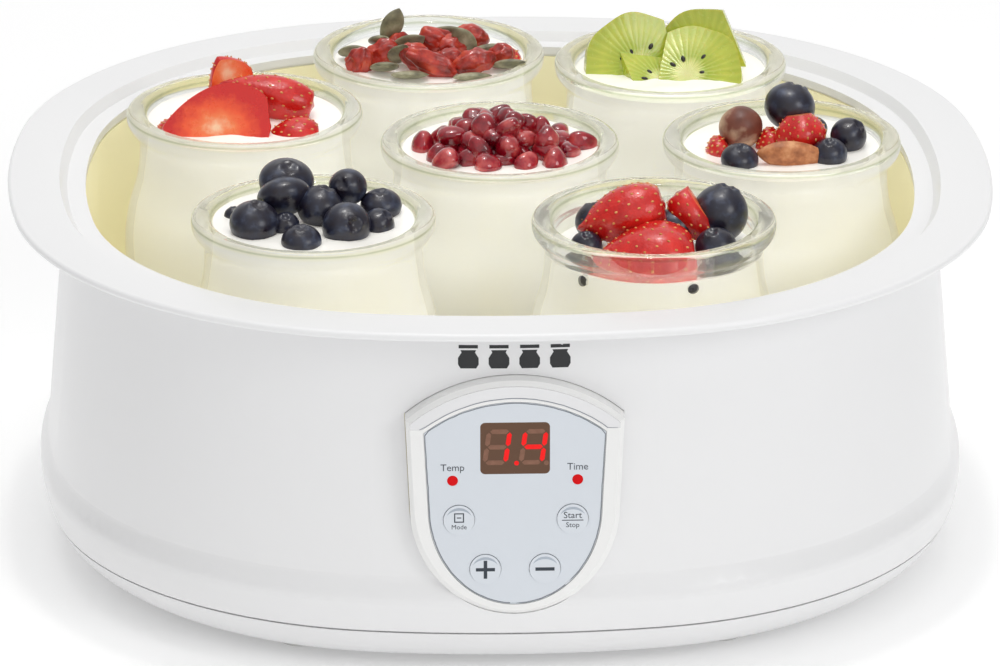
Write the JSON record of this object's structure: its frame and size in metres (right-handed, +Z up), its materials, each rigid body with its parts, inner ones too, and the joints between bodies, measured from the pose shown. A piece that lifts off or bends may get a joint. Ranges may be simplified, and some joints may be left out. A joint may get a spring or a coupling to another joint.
{
  "type": "yogurt maker",
  "caption": "Low rounded-square warming base with a shield-shaped control panel on the front and round open glass jars standing in its tub.",
  "frame": {"origin": "centre of the base's plan, at the table the rubber feet stand on", "axes": "+Z up, front control panel towards -Y, +X to the right as seen from the front"},
  "size_m": [0.2892, 0.2844, 0.1193],
  "materials": {
    "housing_white": "moulded, smooth, satin-gloss",
    "foot_rubber": "moulded, matte",
    "screw_steel": "zinc plated",
    "tub_cream": "warm cream, moulded, satin",
    "gasket_silicone": "soft, matte",
    "heater_aluminium": "rolled sheet",
    "heating_silicone": "silicone cover",
    "fibre_pad": "pressed mineral fibre",
    "component_light": "matte",
    "component_dark": "matte",
    "panel_white": "moulded, glossy",
    "trim_pearl": "pearl, polished",
    "overlay_grey": "printed film, satin",
    "display_brown": "tinted window, glossy",
    "led_red": "clear red lens",
    "key_grey": "satin",
    "board_green": "solder mask",
    "transformer_steel": "laminated core and bobbin",
    "relay_blue": "moulded case",
    "terminal_green": "moulded block",
    "wire_brown": "PVC cover",
    "wire_white": "silicone cover",
    "ribbon_grey": "flat cable",
    "gland_white": "moulded nylon",
    "jar_glass": "clear, polished, faint green at the lip",
    "yogurt": "wet, smooth, cream white",
    "berry_blue": "blueberry skin with bloom",
    "strawberry_red": "wet cut strawberry",
    "pomegranate_red": "translucent aril",
    "kiwi_green": "wet cut kiwi",
    "goji_red": "dried berry",
    "seed_green": "pumpkin seed",
    "nut_brown": "nut skin",
    "panel_print": "printed marks"
  },
  "bodies": {
    "base": {"outer_housing": "housing_white", "base_pan": "housing_white", "rubber_feet": "foot_rubber", "base_screws": "screw_steel", "inner_tub": "tub_cream", "tub_gasket": "gasket_silicone", "heater_plate": "heater_aluminium", "heating_wires": "heating_silicone", "insulation_pad": "fibre_pad", "thermal_fuse": "component_light", "fuse_clip": "screw_steel", "temperature_sensor": "screw_steel", "heater_screws": "screw_steel", "panel_bezel": "panel_white", "arch_trim": "trim_pearl", "panel_overlay": "overlay_grey", "display_window": "display_brown", "display_module": "component_dark", "led_temp": "led_red", "led_time": "led_red", "tact_switches": "component_dark", "control_board": "board_green", "board_screws": "screw_steel", "power_board": "board_green", "power_screws": "screw_steel", "transformer": "transformer_steel", "relay": "relay_blue", "capacitor": "component_dark", "terminal_block": "terminal_green", "mains_wires": "wire_brown", "heater_wires": "wire_white", "ribbon_cable": "ribbon_grey", "cord_gland": "gland_white", "gland_nut": "gland_white"},
    "button_function": {"button_function": "key_grey"},
    "button_start": {"button_start": "key_grey"},
    "button_plus": {"button_plus": "key_grey"},
    "button_minus": {"button_minus": "key_grey"},
    "jar_front_left": {"jar_front_left": "jar_glass"},
    "jar_front_right": {"jar_front_right": "jar_glass"},
    "jar_centre": {"jar_centre": "jar_glass"},
    "jar_left": {"jar_left": "jar_glass"},
    "jar_right": {"jar_right": "jar_glass"},
    "jar_back_left": {"jar_back_left": "jar_glass"},
    "jar_back_right": {"jar_back_right": "jar_glass"}
  },
  "joints": [
    {"name": "function_press", "type": "slide", "parent": "base", "child": "button_function", "axis": [0, 0.9995, -0.0332], "range_m": [0, 0.0006], "stiffness_N_per_m": 400},
    {"name": "start_press", "type": "slide", "parent": "base", "child": "button_start", "axis": [0, 0.9995, -0.0332], "range_m": [0, 0.0006], "stiffness_N_per_m": 400},
    {"name": "plus_press", "type": "slide", "parent": "base", "child": "button_plus", "axis": [0, 0.9995, -0.0332], "range_m": [0, 0.0006], "stiffness_N_per_m": 400},
    {"name": "minus_press", "type": "slide", "parent": "base", "child": "button_minus", "axis": [0, 0.9995, -0.0332], "range_m": [0, 0.0006], "stiffness_N_per_m": 400},
    {"name": "jar_front_left_lift", "type": "slide", "parent": "base", "child": "jar_front_left", "axis": [0, 0, 1], "range_m": [0, 0.12]},
    {"name": "jar_front_right_lift", "type": "slide", "parent": "base", "child": "jar_front_right", "axis": [0, 0, 1], "range_m": [0, 0.12]},
    {"name": "jar_centre_lift", "type": "slide", "parent": "base", "child": "jar_centre", "axis": [0, 0, 1], "range_m": [0, 0.12]},
    {"name": "jar_left_lift", "type": "slide", "parent": "base", "child": "jar_left", "axis": [0, 0, 1], "range_m": [0, 0.12]},
    {"name": "jar_right_lift", "type": "slide", "parent": "base", "child": "jar_right", "axis": [0, 0, 1], "range_m": [0, 0.12]},
    {"name": "jar_back_left_lift", "type": "slide", "parent": "base", "child": "jar_back_left", "axis": [0, 0, 1], "range_m": [0, 0.12]},
    {"name": "jar_back_right_lift", "type": "slide", "parent": "base", "child": "jar_back_right", "axis": [0, 0, 1], "range_m": [0, 0.12]}
  ]
}
